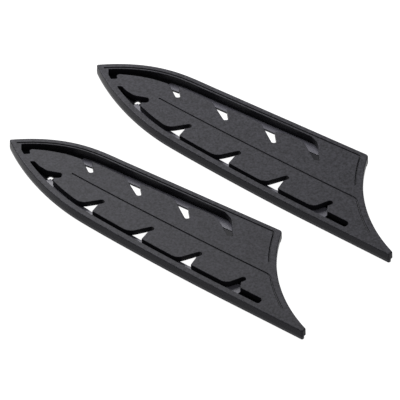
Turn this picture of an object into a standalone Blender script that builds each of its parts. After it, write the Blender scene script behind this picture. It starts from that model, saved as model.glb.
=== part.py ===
"""A pair of open-backed knife blade guards lying side by side on a flat surface.

Each guard is two moulded shells. The front shell has the gripping panel, whose
edge is cut into fingers and leaves, and the skirt of the rim. The back shell has
the floor with its windows, the rest of the rim and the land under the cutting edge.
Plan axes: X from the tip to the tail, Y from the cutting edge to the spine, Z up.
Sizes are in millimetres, and MM turns them into Blender's metres.
"""

import math

import bmesh
import bpy
from mathutils import Vector

MM = 0.001

# Outer form, from the corner where the spine and the edge would meet
TIP = Vector((-2.3, 1.5))
LENGTH = 214.3
THICKNESS = 6.0
SPINE_ANGLE = math.radians(45.0)
SPINE_BELLY_END = Vector((56.0, 24.72))
SPINE_SLOPE = 0.0623
HEEL_RUN = 57.2
HEEL_RADIUS = 101.0
EDGE_ANGLE = math.radians(-34.9)
EDGE_BELLY_END = Vector((62.0, -22.65))
EDGE_BELLY_SLOPE = -0.1046
EDGE_LEVEL_START = 155.0
TAIL_DROP = 26.22
TAIL_HEIGHT = 3.2
SPINE_PULL = 0.564
SPINE_PUSH = 0.261
EDGE_PULL = 0.285
EDGE_PUSH = 0.408
SOLE_PULL = 0.127
SOLE_PUSH = 0.366
TIP_ROUND = 0.8
HEEL_CORNER_ROUND = 2.6
TAIL_ROUND = 0.9
TOP_CHAMFER = 0.45
BOTTOM_CHAMFER = 0.35

# Heights through the thickness
PANEL_THICKNESS = 3.1
FLOOR_THICKNESS = 0.9
SEAM_SHARE = 0.69
SEAM_HEIGHT = SEAM_SHARE * (THICKNESS - PANEL_THICKNESS)
SEAM_GAP = 0.3
LAND_CLEARANCE = 0.5
LAND_HEIGHT = THICKNESS - PANEL_THICKNESS - LAND_CLEARANCE

# Rims, and the openings that run beside them
SPINE_RIM = 4.5
EDGE_RIM = 3.5
EDGE_SLOT = 2.2
SLOT_BOW = 0.25
LEAF_INSET = 10.1
LEAF_SLOPE_DROP = 0.4
LEDGE_INSET = 8.4
LAND_INSET = 8.4
BLADE_RELIEF = 0.2
FIT_GAP = 0.3
HEEL_SETBACK = 1.5

# Spine side: channel, leaves and their notches
NOTCH_PITCH = 31.0
FIRST_NOTCH = Vector((47.6, 7.2))
NOTCH_RISE = 0.85
NOTCH_END_ROUND = 1.15
LEAF_END = 14.6
NOTCH_TO_CHANNEL_END = 26.0
CHANNEL_END_TO_HEEL = 17.6

# Edge side: fingers and their slots
FINGER_PITCH = 33.9
PITCH_LOSS = 1.25
FIRST_CORNER = 67.6
SLOT_ANGLE = math.radians(52.0)
SLOT_ANGLE_GAIN = math.radians(16.0)
SLOT_END_WIDTH = 3.0
SLOT_END_DEPTH = 14.7
SLOT_DEPTH_GAIN = 1.65
LAST_SLOT_END_DEPTH = 14.2
SLOT_END_LEAD = 0.8
SLOT_LEAD_GAIN = 2.3
SLOT_THROAT = 2.2
FINGER_CURVE = 6.7
CORNER_ROUND = 0.45
LAST_SLOT_LENGTH = 15.0
LAST_SLOT_WIDTH = 4.3
LAST_SLOT_TO_TAIL = 31.0
FIRST_FINGER_START = 37.5

# Openings near the tip, as corners with a rounding each
TIP_NOTCH = [(11.6, 1.0, 0.3), (13.6, -0.9, 0.5), (11.2, -3.1, 0.3), (8.2, -1.3, 0.8)]
TIP_LEAF = [(28.5, 10.5, 30.0), (18.6, 6.5, 60.0), (12.0, 2.5, 0.3)]
FIRST_LEAF_END = (37.4, 12.2, 3.5)
FIRST_FINGER_END = [(36.4, -10.7, 0.5), (35.5, -8.4, 0.4)]
FIRST_SLOT_HEEL = [(38.4, -6.4, 1.7), (36.8, -3.0, 1.7), (33.0, -4.6, 4.0)]
FIRST_SLOT_TIP = [(29.0, -6.3, 5.0), (23.6, -5.8, 6.0), (19.3, -4.4, 1.0), (17.4, -5.9, 1.0)]
FIRST_WINDOW = [(29.0, -6.8, 0.6), (29.0, -3.6, 1.0), (31.8, -3.6, 1.0), (31.8, -6.8, 0.6)]
CHANNEL_START = 5.2
SLOT_START = 18.6
LAND_START = 30.0

# Windows in the floor behind the notches and the slots
NOTCH_WINDOW = Vector((17.6, 8.0))
NOTCH_WINDOW_PAST = 1.2
SLOT_WINDOW = Vector((20.5, 11.5))
SLOT_WINDOW_GAP = 1.0
WINDOW_INTO_LAND = 0.35
WINDOW_ROUND = 2.0

# Engraved lines
GROOVE_RADIUS = 0.5
RIM_GROOVE_INSET = 3.3
RIM_GROOVE_START = 2.6
RIM_GROOVE_END = Vector((9.4, 6.7))
HEEL_BAND = 4.0
CENTRE_GROOVE = [Vector((40.6, -0.1)), Vector((60.0, -0.9)), Vector((110.0, -1.9))]
CENTRE_GROOVE_BEND = Vector((15.3, -1.0))
CENTRE_GROOVE_END = Vector((37.6, -18.5))

# Second guard, measured from the first
FAR_OFFSET = Vector((-2.3, 75.8))


def clear_scene():
    """Removes every object of the open file."""
    for thing in list(bpy.data.objects):
        bpy.data.objects.remove(thing, do_unlink=True)


def bezier(start, pull, push, end, steps):
    """Points along a cubic curve, both ends included."""
    points = []
    for step in range(steps + 1):
        t = step / steps
        s = 1.0 - t
        points.append(s**3 * start + 3 * s * s * t * pull + 3 * s * t * t * push + t**3 * end)
    return points


def arc(centre, radius, first, last, steps):
    """Points along an arc between two angles in radians, both ends included."""
    angles = [first + (last - first) * step / steps for step in range(steps + 1)]
    return [centre + radius * Vector((math.cos(a), math.sin(a))) for a in angles]


def rounded(corners):
    """Closed outline from (x, y, radius) corners: each is rounded by an arc."""
    points = []
    count = len(corners)
    for index, (x, y, radius) in enumerate(corners):
        here = Vector((x, y))
        before = Vector(corners[index - 1][:2]) - here
        after = Vector(corners[(index + 1) % count][:2]) - here
        turn = before.angle(after)
        if radius <= 0.0 or turn > math.radians(179.0):
            points.append(here)
            continue
        reach = radius / math.tan(turn / 2)
        reach = min(reach, before.length * 0.49, after.length * 0.49)
        radius = reach * math.tan(turn / 2)
        middle = (before.normalized() + after.normalized()).normalized()
        centre = here + middle * radius / math.sin(turn / 2)
        first = here + before.normalized() * reach - centre
        last = here + after.normalized() * reach - centre
        start = math.atan2(first.y, first.x)
        sweep = math.remainder(math.atan2(last.y, last.x) - start, 2 * math.pi)
        steps = max(2, round(abs(sweep) * (3 + math.sqrt(radius)) / 1.9))
        points.extend(arc(centre, radius, start, start + sweep, steps))
    return points


def plain(points):
    """Corners without rounding, for rounded()."""
    return [(point.x, point.y, 0.0) for point in points]


def shifted(points, distance):
    """An open line moved sideways: to its right for a positive distance."""
    moved = []
    for index, point in enumerate(points):
        ahead = points[min(index + 1, len(points) - 1)]
        behind = points[max(index - 1, 0)]
        along = (ahead - behind).normalized()
        moved.append(point + distance * Vector((along.y, -along.x)))
    return moved


def height_at(points, x):
    """The y of a line whose x only grows, at a given x."""
    for near, far in zip(points, points[1:]):
        if near.x <= x <= far.x:
            share = (x - near.x) / (far.x - near.x)
            return near.y + share * (far.y - near.y)
    return points[-1].y if x > points[-1].x else points[0].y


def between(points, low, high):
    """The part of such a line from one x to another."""
    inner = [point for point in points if low < point.x < high]
    first = Vector((low, height_at(points, low)))
    last = Vector((high, height_at(points, high)))
    return [first, *inner, last]


class Plan:
    """The outlines of one guard, all worked out from the driving dimensions."""

    def __init__(self):
        self.tail = TIP.x + LENGTH
        self.heel_top = Vector((self.tail - HEEL_RUN, 0.0))
        self.heel_top.y = self.spine_height(self.heel_top.x)
        self.tail_top = Vector((self.tail, TAIL_HEIGHT - TAIL_DROP))
        self.spine = self.spine_line()
        self.edge = self.edge_line()
        self.heel_centre = self.find_heel_centre()
        self.notches = self.notch_points()
        self.corners = self.finger_corners()

    def spine_height(self, x):
        """The straight stretch of the spine."""
        return SPINE_BELLY_END.y + SPINE_SLOPE * (x - SPINE_BELLY_END.x)

    def spine_line(self):
        """The spine from the tip to the top of the heel."""
        run = SPINE_BELLY_END.x - TIP.x
        pull = TIP + SPINE_PULL * run * Vector((math.cos(SPINE_ANGLE), math.sin(SPINE_ANGLE)))
        push = SPINE_BELLY_END - SPINE_PUSH * run * Vector((1.0, SPINE_SLOPE))
        return [*bezier(TIP, pull, push, SPINE_BELLY_END, 14), self.heel_top]

    def edge_line(self):
        """The cutting edge side from the tip to the tail."""
        slope = Vector((1.0, EDGE_BELLY_SLOPE))
        run = EDGE_BELLY_END.x - TIP.x
        pull = TIP + EDGE_PULL * run * Vector((math.cos(EDGE_ANGLE), math.sin(EDGE_ANGLE)))
        push = EDGE_BELLY_END - EDGE_PUSH * run * slope
        belly = bezier(TIP, pull, push, EDGE_BELLY_END, 12)
        level = Vector((EDGE_LEVEL_START, -TAIL_DROP))
        run = level.x - EDGE_BELLY_END.x
        pull = EDGE_BELLY_END + SOLE_PULL * run * slope
        push = level - SOLE_PUSH * run * Vector((1.0, 0.0))
        sole = bezier(EDGE_BELLY_END, pull, push, level, 6)
        return [*belly, *sole[1:], Vector((self.tail, -TAIL_DROP))]

    def find_heel_centre(self):
        """The centre of the hollow heel, off the guard beyond the spine."""
        chord = self.tail_top - self.heel_top
        middle = (self.tail_top + self.heel_top) / 2
        rise = math.sqrt(HEEL_RADIUS**2 - chord.length_squared / 4)
        return middle + rise * Vector((-chord.y, chord.x)).normalized()

    def heel_arc(self, inset, start, end, steps):
        """The heel's arc, moved into the guard, between the angles of two points."""
        first = start - self.heel_centre
        last = end - self.heel_centre
        first_angle = math.atan2(first.y, first.x) % (2 * math.pi)
        last_angle = math.atan2(last.y, last.x) % (2 * math.pi)
        return arc(self.heel_centre, HEEL_RADIUS + inset, first_angle, last_angle, steps)

    def outline(self):
        """The outer outline, from the tip over the spine and the heel to the tail."""
        heel = self.heel_arc(0.0, self.heel_top, self.tail_top, 14)[1:-1]
        tip = [(TIP.x, TIP.y, TIP_ROUND)]
        heel_corner = [(self.heel_top.x, self.heel_top.y, HEEL_CORNER_ROUND)]
        tail = [(self.tail_top.x, self.tail_top.y, TAIL_ROUND), (self.tail, -TAIL_DROP, TAIL_ROUND)]
        edge = [point for point in reversed(self.edge[1:-1])]
        return rounded(
            [*tip, *plain(self.spine[1:-1]), *heel_corner, *plain(heel), *tail, *plain(edge)]
        )

    def notch_points(self):
        """The lower ends of the notches, as many as the channel has room for."""
        room = self.heel_top.x - CHANNEL_END_TO_HEEL - NOTCH_TO_CHANNEL_END - FIRST_NOTCH.x
        count = 1 + int(room // NOTCH_PITCH)
        return [FIRST_NOTCH + k * Vector((NOTCH_PITCH, NOTCH_RISE)) for k in range(count)]

    def finger_corners(self):
        """Where each finger after the first begins, as many as the edge has room for."""
        corners = [FIRST_CORNER]
        pitch = FINGER_PITCH
        while corners[-1] + pitch <= self.tail - LAST_SLOT_TO_TAIL - LAST_SLOT_LENGTH:
            corners.append(corners[-1] + pitch)
            pitch -= PITCH_LOSS
        return corners

    def leaf_height(self, x):
        """The leaves' shared edge along the channel."""
        return self.spine_height(x) - LEAF_INSET

    def channel(self):
        """The opening between the spine's rim and the panel, with its notches and hook."""
        end = self.heel_top.x - CHANNEL_END_TO_HEEL
        rim = shifted(self.spine, SPINE_RIM)
        outer = plain(between(rim, CHANNEL_START, end - 15.0))
        leaf = self.leaf_height(end)
        hook_out = [(end - 9.0, leaf + 2.5, 9.0), (end + 0.1, leaf - 8.3, 0.5)]
        hook_in = [(end - 2.2, leaf - 9.5, 0.5), (end - 16.0, self.leaf_height(end - 16.0), 12.0)]
        leaves = []
        for notch in reversed(self.notches):
            leaves.extend(self.leaf_start(notch))
        return rounded([*outer, *hook_out, *hook_in, *leaves, *TIP_LEAF, *TIP_NOTCH])

    def leaf_start(self, notch):
        """One notch, and the start of the leaf on its heel side, from the heel side on."""
        first = notch is self.notches[0]
        shoulder = (notch.x + 0.4, self.leaf_height(notch.x + 0.4), 5.0)
        corner = (notch.x - 4.9, notch.y + 6.7, 0.4)
        end_right = (notch.x + 1.35, notch.y + 0.45, NOTCH_END_ROUND)
        end_left = (notch.x - 0.35, notch.y - 1.35, NOTCH_END_ROUND)
        last_x = notch.x - LEAF_END
        last = (last_x, self.leaf_height(last_x) - LEAF_SLOPE_DROP, 10.0)
        if first:
            last = FIRST_LEAF_END
        return [shoulder, corner, end_right, end_left, last]

    def finger_edge(self, index):
        """The line that one finger's long edge follows, the first finger being 0."""
        bow = SLOT_BOW * (index - (len(self.corners) - 1) / 2) ** 2
        return shifted(self.edge, -(EDGE_RIM + EDGE_SLOT + bow))

    def slots(self):
        """The opening between the cutting edge's rail and the fingers."""
        last_corner = self.corners[-1]
        slot_end = last_corner + LAST_SLOT_LENGTH
        rail = shifted(self.edge, -EDGE_RIM)
        half = LAST_SLOT_WIDTH / 2
        lower = plain(between(rail, SLOT_START, slot_end - half))
        end_y = height_at(rail, slot_end)
        top_y = end_y + LAST_SLOT_WIDTH
        end = [(slot_end, end_y, half), (slot_end, top_y, half), (last_corner, top_y, CORNER_ROUND)]
        upper = []
        for index in reversed(range(len(self.corners))):
            upper.extend(self.finger(index))
        return rounded(
            [*lower, *end, *upper, *FIRST_FINGER_END, *FIRST_SLOT_HEEL, *FIRST_SLOT_TIP]
        )

    def finger(self, index):
        """One slot end and the finger before it, from the next finger's corner back."""
        share = index / max(len(self.corners) - 1, 1)
        is_last = index == len(self.corners) - 1
        corner = self.corners[index]
        fingers = self.finger_edge(index)
        angle = SLOT_ANGLE + SLOT_ANGLE_GAIN * share
        along = Vector((math.cos(angle), math.sin(angle)))
        side = Vector((-along.y, along.x))
        depth = LAST_SLOT_END_DEPTH if is_last else SLOT_END_DEPTH + SLOT_DEPTH_GAIN * share
        lead = SLOT_END_LEAD + SLOT_LEAD_GAIN * share**2
        end = Vector((corner - lead, height_at(self.edge, corner) + depth))
        half = SLOT_END_WIDTH / 2
        right = end + half * (along - side)
        left = end + half * (along + side)
        inner = end - SLOT_THROAT * along - half * side
        start = FIRST_FINGER_START if index == 0 else self.corners[index - 1]
        line = between(fingers, start, left.x)
        knee = self.knee(left, along, fingers)
        kept = [point for point in line if start + 2.0 < point.x < knee.x - FINGER_CURVE]
        points = [(inner.x, inner.y, 0.3), (right.x, right.y, half), (left.x, left.y, half)]
        points.append((knee.x, knee.y, FINGER_CURVE))
        points.extend(plain(reversed(kept)))
        if index > 0:
            points.append((start, height_at(fingers, start), CORNER_ROUND))
        return points

    def knee(self, left, along, fingers):
        """Where the slot's side, run straight down, would meet the finger's edge."""
        reach = 0.0
        point = left.copy()
        while point.y > height_at(fingers, point.x) and reach < 40.0:
            reach += 0.05
            point = left - reach * along
        return point

    def blade_space(self):
        """The room for the blade, from inside the tip to past the open heel."""
        upper = between(shifted(self.spine, SPINE_RIM - BLADE_RELIEF), 8.0, self.heel_top.x - 1.0)
        lower = between(shifted(self.edge, BLADE_RELIEF - EDGE_RIM), 13.0, self.tail - 2.5)
        past = Vector((self.tail + 12.0, lower[-1].y))
        above = Vector((self.tail + 12.0, upper[-1].y))
        return rounded([*plain(upper), *plain([above, past]), *plain(reversed(lower))])

    def land(self):
        """The raised land behind the cutting edge, up to the last finger's corner."""
        last = self.corners[-1]
        outer = between(shifted(self.edge, -(EDGE_RIM + FIT_GAP)), LAND_START, last - 0.5)
        inner = between(shifted(self.edge, -LAND_INSET), LAND_START + 2.0, last - 15.0)
        top = height_at(self.edge, last) + LAST_SLOT_END_DEPTH - 1.0
        heel_end = [(last - 0.5, top, 1.0), (last - 6.5, top, 3.0)]
        return rounded([*plain(outer), *heel_end, *plain(reversed(inner))])

    def windows(self):
        """The openings in the back shell's floor."""
        loops = [rounded(FIRST_WINDOW)]
        ledge = shifted(self.spine, LEDGE_INSET)
        for notch in self.notches:
            low = Vector((notch.x - NOTCH_WINDOW.x, 0.0))
            low.y = height_at(ledge, low.x)
            high = Vector((notch.x + NOTCH_WINDOW_PAST, 0.0))
            high.y = height_at(ledge, high.x)
            corners = [low, high, high - Vector((0.0, NOTCH_WINDOW.y + 1.0))]
            corners.append(low - Vector((0.0, NOTCH_WINDOW.y - 0.5)))
            loops.append(rounded([(p.x, p.y, WINDOW_ROUND) for p in corners]))
        land = shifted(self.edge, WINDOW_INTO_LAND - LAND_INSET)
        for corner in self.corners[:-1]:
            low = Vector((corner - SLOT_WINDOW.x, 0.0))
            low.y = height_at(land, low.x)
            high = Vector((corner - SLOT_WINDOW_GAP, 0.0))
            high.y = height_at(land, high.x)
            corners = [low, low + Vector((0.0, SLOT_WINDOW.y - 2.0))]
            corners += [high + Vector((0.0, SLOT_WINDOW.y)), high]
            loops.append(rounded([(p.x, p.y, WINDOW_ROUND) for p in corners]))
        return loops

    def heel_relief(self):
        """A sector that sets the back shell's heel inside the front shell's."""
        first = self.heel_top + Vector((-8.0, 6.0))
        last = self.tail_top + Vector((9.0, -6.0))
        return [self.heel_centre, *self.heel_arc(HEEL_SETBACK, first, last, 18)]

    def rim_groove(self):
        """The engraved line along the spine and down the top of the heel."""
        line = shifted(self.spine, RIM_GROOVE_INSET)[:-1]
        corner = Vector((self.heel_top.x - 3.0, 0.0))
        corner.y = self.spine_height(corner.x) - RIM_GROOVE_INSET
        end = Vector((self.heel_top.x, 0.0)) + RIM_GROOVE_END
        down = self.heel_arc(HEEL_BAND, corner + Vector((0.5, -3.0)), end, 7)
        turn = bezier(corner - Vector((2.2, 0.1)), corner, corner, down[0], 4)
        return [*between(line, RIM_GROOVE_START, SPINE_BELLY_END.x), *turn, *down[1:]]

    def centre_groove(self):
        """The engraved line along the middle and down the lower part of the heel."""
        heel = Vector((self.heel_top.x, 0.0))
        bend = heel + CENTRE_GROOVE_BEND
        end = heel + CENTRE_GROOVE_END
        down = self.heel_arc(HEEL_BAND, bend + Vector((1.6, -1.6)), end, 8)
        before = bend - Vector((2.5, 0.0))
        turn = bezier(before, bend, bend, down[0], 4)
        return [*bezier(*CENTRE_GROOVE, before, 8), *turn[1:], *down[1:]]


def spline_of(curve, points, closed, height=0.0):
    """Adds one straight-sided spline through plan points."""
    spline = curve.splines.new("POLY")
    spline.points.add(len(points) - 1)
    for target, point in zip(spline.points, points):
        target.co = (point.x * MM, point.y * MM, height * MM, 1.0)
    spline.use_cyclic_u = closed


def mesh_of(curve, name, lift, collection):
    """Turns a curve into a welded mesh object, raised by lift millimetres."""
    maker = bpy.data.objects.new(name, curve)
    bpy.context.scene.collection.objects.link(maker)
    graph = bpy.context.evaluated_depsgraph_get()
    mesh = bpy.data.meshes.new_from_object(maker.evaluated_get(graph))
    bpy.data.objects.remove(maker, do_unlink=True)
    shell = bmesh.new()
    shell.from_mesh(mesh)
    bmesh.ops.remove_doubles(shell, verts=shell.verts, dist=1e-6)
    bmesh.ops.translate(shell, verts=shell.verts, vec=(0.0, 0.0, lift * MM))
    bmesh.ops.recalc_face_normals(shell, faces=shell.faces)
    shell.to_mesh(mesh)
    shell.free()
    mesh.materials.clear()
    made = bpy.data.objects.new(name, mesh)
    collection.objects.link(made)
    return made


def plate(name, loops, low, high, collection, chamfer=0.0):
    """A flat plate between two heights, from closed outlines, with chamfered edges."""
    curve = bpy.data.curves.new(name, "CURVE")
    curve.dimensions = "2D"
    curve.fill_mode = "BOTH"
    curve.extrude = ((high - low) / 2 - chamfer) * MM
    curve.bevel_depth = chamfer * MM
    curve.bevel_resolution = 0
    curve.offset = -chamfer * MM
    for loop in loops:
        spline_of(curve, loop, True)
    return mesh_of(curve, name, (high + low) / 2, collection)


def engraving(name, points, height, collection):
    """A round-bottomed cutter that follows a line on the top face."""
    curve = bpy.data.curves.new(name, "CURVE")
    curve.dimensions = "3D"
    curve.bevel_depth = GROOVE_RADIUS * MM
    curve.bevel_resolution = 1
    curve.use_fill_caps = True
    spline_of(curve, points, False)
    return mesh_of(curve, name, height, collection)


def combine(target, tool, operation):
    """Adds a live Boolean of one object with another."""
    modifier = target.modifiers.new(tool.name, "BOOLEAN")
    modifier.operation = operation
    modifier.solver = "EXACT"
    modifier.object = tool
    tool.display_type = "WIRE"
    tool.hide_render = True


def finished(target, name):
    """The plain mesh that an object's modifiers make."""
    graph = bpy.context.evaluated_depsgraph_get()
    mesh = bpy.data.meshes.new_from_object(target.evaluated_get(graph))
    mesh.name = name
    bpy.data.objects.remove(target, do_unlink=True)
    return mesh


def front_shell(plan, cutters):
    """Panel, skirt and engraved lines."""
    body = plate(
        "front_body", [plan.outline()], -2.0, THICKNESS, cutters, TOP_CHAMFER
    )
    under = SEAM_HEIGHT + SEAM_GAP / 2
    below = [Vector((-20.0, -60.0)), Vector((LENGTH + 20.0, -60.0))]
    below += [Vector((LENGTH + 20.0, 60.0)), Vector((-20.0, 60.0))]
    panel_floor = THICKNESS - PANEL_THICKNESS
    tools = [
        plate("front_trim", [below], -4.0, under, cutters),
        plate("blade_space_front", [plan.blade_space()], under - 1.0, panel_floor, cutters),
        plate("channel_cut", [plan.channel()], under - 0.5, THICKNESS + 1.0, cutters),
        plate("slot_cut", [plan.slots()], under - 0.5, THICKNESS + 1.0, cutters),
        engraving("rim_groove", plan.rim_groove(), THICKNESS, cutters),
        engraving("centre_groove", plan.centre_groove(), THICKNESS, cutters),
    ]
    for tool in tools:
        combine(body, tool, "DIFFERENCE")
    return finished(body, "front_shell")


def back_shell(plan, cutters):
    """Floor with its windows, lower rim and the land behind the cutting edge."""
    body = plate("back_body", [plan.outline()], 0.0, THICKNESS, cutters, BOTTOM_CHAMFER)
    seam = SEAM_HEIGHT - SEAM_GAP / 2
    above = [Vector((-20.0, -60.0)), Vector((LENGTH + 20.0, -60.0))]
    above += [Vector((LENGTH + 20.0, 60.0)), Vector((-20.0, 60.0))]
    combine(body, plate("back_trim", [above], seam, THICKNESS + 1.0, cutters), "DIFFERENCE")
    space = plate("blade_space_back", [plan.blade_space()], FLOOR_THICKNESS, seam + 1.0, cutters)
    combine(body, space, "DIFFERENCE")
    land = plate("edge_land", [plan.land()], FLOOR_THICKNESS / 2, LAND_HEIGHT, cutters)
    combine(body, land, "UNION")
    window = plate("window_cut", plan.windows(), -1.0, THICKNESS, cutters)
    combine(body, window, "DIFFERENCE")
    heel = plate("heel_relief", [plan.heel_relief()], -1.0, THICKNESS, cutters)
    combine(body, heel, "DIFFERENCE")
    return finished(body, "back_shell")


def moulded_plastic(name, colour, roughness):
    """A plain material for one shell."""
    material = bpy.data.materials.new(name)
    material.use_nodes = True
    shader = material.node_tree.nodes["Principled BSDF"]
    shader.inputs["Base Color"].default_value = (*colour, 1.0)
    shader.inputs["Roughness"].default_value = roughness
    shader.inputs["Metallic"].default_value = 0.0
    return material


def place_guard(name, meshes, place, collection):
    """One guard: an empty at its tip on the ground, with its two shells."""
    holder = bpy.data.objects.new(name, None)
    holder.location = (place.x * MM, place.y * MM, 0.0)
    collection.objects.link(holder)
    finishes = {"front": ((0.030, 0.030, 0.033), 0.50), "back": ((0.026, 0.026, 0.029), 0.34)}
    for part, mesh in meshes.items():
        piece = bpy.data.objects.new(f"{name}_{part}_shell", mesh)
        piece.parent = holder
        collection.objects.link(piece)
        if not mesh.materials:
            mesh.materials.append(None)
        piece.material_slots[0].link = "OBJECT"
        piece.material_slots[0].material = moulded_plastic(f"{name}_{part}_plastic", *finishes[part])


def main():
    """Builds the pair with the middle of its box over the origin."""
    clear_scene()
    guards = bpy.data.collections.new("blade_guards")
    cutters = bpy.data.collections.new("cutters")
    for collection in (guards, cutters):
        bpy.context.scene.collection.children.link(collection)
    plan = Plan()
    meshes = {"front": front_shell(plan, cutters), "back": back_shell(plan, cutters)}
    outline = plan.outline()
    low = Vector((min(p.x for p in outline), min(p.y for p in outline)))
    high = Vector((max(p.x for p in outline), max(p.y for p in outline)))
    near_place = -(low + high + FAR_OFFSET) / 2
    place_guard("near_guard", meshes, near_place, guards)
    place_guard("far_guard", meshes, near_place + FAR_OFFSET, guards)


main()
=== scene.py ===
"""The looks of a pair of moulded knife blade guards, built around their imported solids.

Each guard has a front shell, a back shell and the weld line between them. Their
outlines are worked out in plan from a few sizes, in millimetres, and turned into
solids by two Geometry Nodes trees: one sweeps a wall section around closed outlines
and caps it, the other sweeps a round bead along a path.
"""

import logging
import math
from dataclasses import dataclass, field
from enum import Enum
from typing import ClassVar, Iterable, Sequence

import bmesh
import bpy
from mathutils import Matrix, Vector


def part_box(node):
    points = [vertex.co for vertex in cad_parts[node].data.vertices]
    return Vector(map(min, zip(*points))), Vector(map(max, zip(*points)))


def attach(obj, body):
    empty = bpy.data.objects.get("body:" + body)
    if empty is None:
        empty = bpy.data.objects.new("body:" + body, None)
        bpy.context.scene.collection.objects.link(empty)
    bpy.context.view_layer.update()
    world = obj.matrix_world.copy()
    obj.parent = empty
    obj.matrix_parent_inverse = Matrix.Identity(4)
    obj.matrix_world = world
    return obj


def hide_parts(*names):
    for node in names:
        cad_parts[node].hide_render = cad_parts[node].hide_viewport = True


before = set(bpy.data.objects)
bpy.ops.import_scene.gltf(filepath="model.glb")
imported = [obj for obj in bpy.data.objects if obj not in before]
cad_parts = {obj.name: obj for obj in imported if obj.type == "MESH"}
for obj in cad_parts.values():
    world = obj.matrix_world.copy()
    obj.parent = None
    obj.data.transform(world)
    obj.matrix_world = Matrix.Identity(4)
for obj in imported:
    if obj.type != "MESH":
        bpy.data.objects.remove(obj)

LOG = logging.getLogger("blade_guards")
MM = 0.001
VIEW_MIDDLE = Vector((106.08, 23.91, 6.0))
MERGE_DISTANCE = 1e-6
EDGE_STEPS = 6

Corner = tuple[float, float, float]
Line = list[Vector]
Socket = bpy.types.NodeSocket
Thing = bpy.types.Object

# Corners near the tip, each with its x, its y and its rounding
TIP_LEAF: list[Corner] = [(28.5, 10.5, 30.0), (18.6, 6.5, 60.0), (12.0, 2.5, 0.3)]
TIP_NOTCH: list[Corner] = [(11.6, 1.0, 0.3), (13.6, -0.9, 0.5), (11.2, -3.1, 0.3), (8.2, -1.3, 0.8)]
FIRST_LEAF_END: Corner = (37.4, 12.2, 3.5)
FIRST_SLOT_HEEL: list[Corner] = [(36.4, -10.7, 0.5), (35.5, -8.4, 0.4), (38.4, -6.4, 1.7), (36.8, -3.0, 1.7)]
FIRST_SLOT_MIDDLE: list[Corner] = [(33.0, -4.6, 4.0), (29.0, -6.3, 5.0), (23.6, -5.8, 6.0)]
FIRST_SLOT_TIP: list[Corner] = [(19.3, -4.4, 1.0), (17.4, -5.9, 1.0)]
FIRST_WINDOW: list[Corner] = [(29.0, -6.8, 0.6), (29.0, -3.6, 1.0), (31.8, -3.6, 1.0), (31.8, -6.8, 0.6)]
CENTRE_LINE: Line = [Vector((40.6, -0.1)), Vector((60.0, -0.9)), Vector((110.0, -1.9))]

# Corners measured from a notch's lower end, and from where the leaves' line meets the channel's end
NOTCH: list[Corner] = [(-4.9, 6.7, 0.4), (1.35, 0.45, 1.15), (-0.35, -1.35, 1.15)]
HOOK: list[Corner] = [(-9.0, 2.5, 9.0), (0.1, -8.3, 0.5), (-2.2, -9.5, 0.5)]


class Side(Enum):
    """The two guards, by where they lie."""

    NEAR = "near_guard"
    FAR = "far_guard"


class Region(Enum):
    """Faces of a shell that leave the mould with a different finish each, some also given a darker grey as
    painted shade or a lighter grey as painted sheen.
    """

    ERODED = 0
    DRAWN = 1
    POLISHED = 2
    SATIN = 3


class Cut(Enum):
    """How a tool solid changes a shell."""

    TAKE = "DIFFERENCE"
    ADD = "UNION"


# Plan geometry


def cubic(start: Vector, pull: Vector, push: Vector, end: Vector, steps: int) -> Line:
    """Points along a cubic curve.

    Args:
        start: First point.
        pull: Control point that the curve leaves towards.
        push: Control point that the curve arrives from.
        end: Last point.
        steps: Number of equal parameter steps.

    Returns:
        The points, both ends included.
    """
    points = []
    for step in range(steps + 1):
        t = step / steps
        s = 1.0 - t
        points.append(s**3 * start + 3 * s * s * t * pull + 3 * s * t * t * push + t**3 * end)
    return points


def arc(centre: Vector, radius: float, first: float, last: float, steps: int) -> Line:
    """Points along an arc.

    Args:
        centre: Centre of the arc.
        radius: Its radius.
        first: Angle of the first point, in radians.
        last: Angle of the last point, in radians.
        steps: Number of equal steps.

    Returns:
        The points, both ends included.
    """
    angles = [first + (last - first) * step / steps for step in range(steps + 1)]
    return [centre + radius * Vector((math.cos(a), math.sin(a))) for a in angles]


def shifted(points: Line, distance: float) -> Line:
    """An open line moved sideways.

    Args:
        points: The line.
        distance: How far, to the right of its direction.

    Returns:
        The moved line, with as many points.
    """
    moved = []
    for index, point in enumerate(points):
        ahead = points[min(index + 1, len(points) - 1)]
        behind = points[max(index - 1, 0)]
        along = (ahead - behind).normalized()
        moved.append(point + distance * Vector((along.y, -along.x)))
    return moved


def height_at(points: Line, x: float) -> float:
    """The y of a line whose x only grows.

    Args:
        points: The line.
        x: Where to read it.

    Returns:
        The height there, or the nearest end's.
    """
    for near, far in zip(points, points[1:]):
        if near.x <= x <= far.x:
            return near.y + (x - near.x) / (far.x - near.x) * (far.y - near.y)
    return points[-1].y if x > points[-1].x else points[0].y


def between(points: Line, low: float, high: float) -> Line:
    """The part of a line whose x only grows.

    Args:
        points: The line.
        low: The x where the part starts.
        high: The x where it ends.

    Returns:
        The part, with a new point at each end.
    """
    inner = [point for point in points if low < point.x < high]
    first = Vector((low, height_at(points, low)))
    last = Vector((high, height_at(points, high)))
    return [first, *inner, last]


def sharp(points: Iterable[Vector]) -> list[Corner]:
    """Points as corners that stay unrounded."""
    return [(point.x, point.y, 0.0) for point in points]


def placed(corners: Sequence[Corner], x: float, y: float) -> list[Corner]:
    """Corners moved by x and y."""
    return [(x + along, y + across, radius) for along, across, radius in corners]


def place(x: float, y: float) -> Vector:
    """A dataclass field that starts as this place or pair of sizes."""
    return field(default_factory=lambda: Vector((x, y)))


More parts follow.
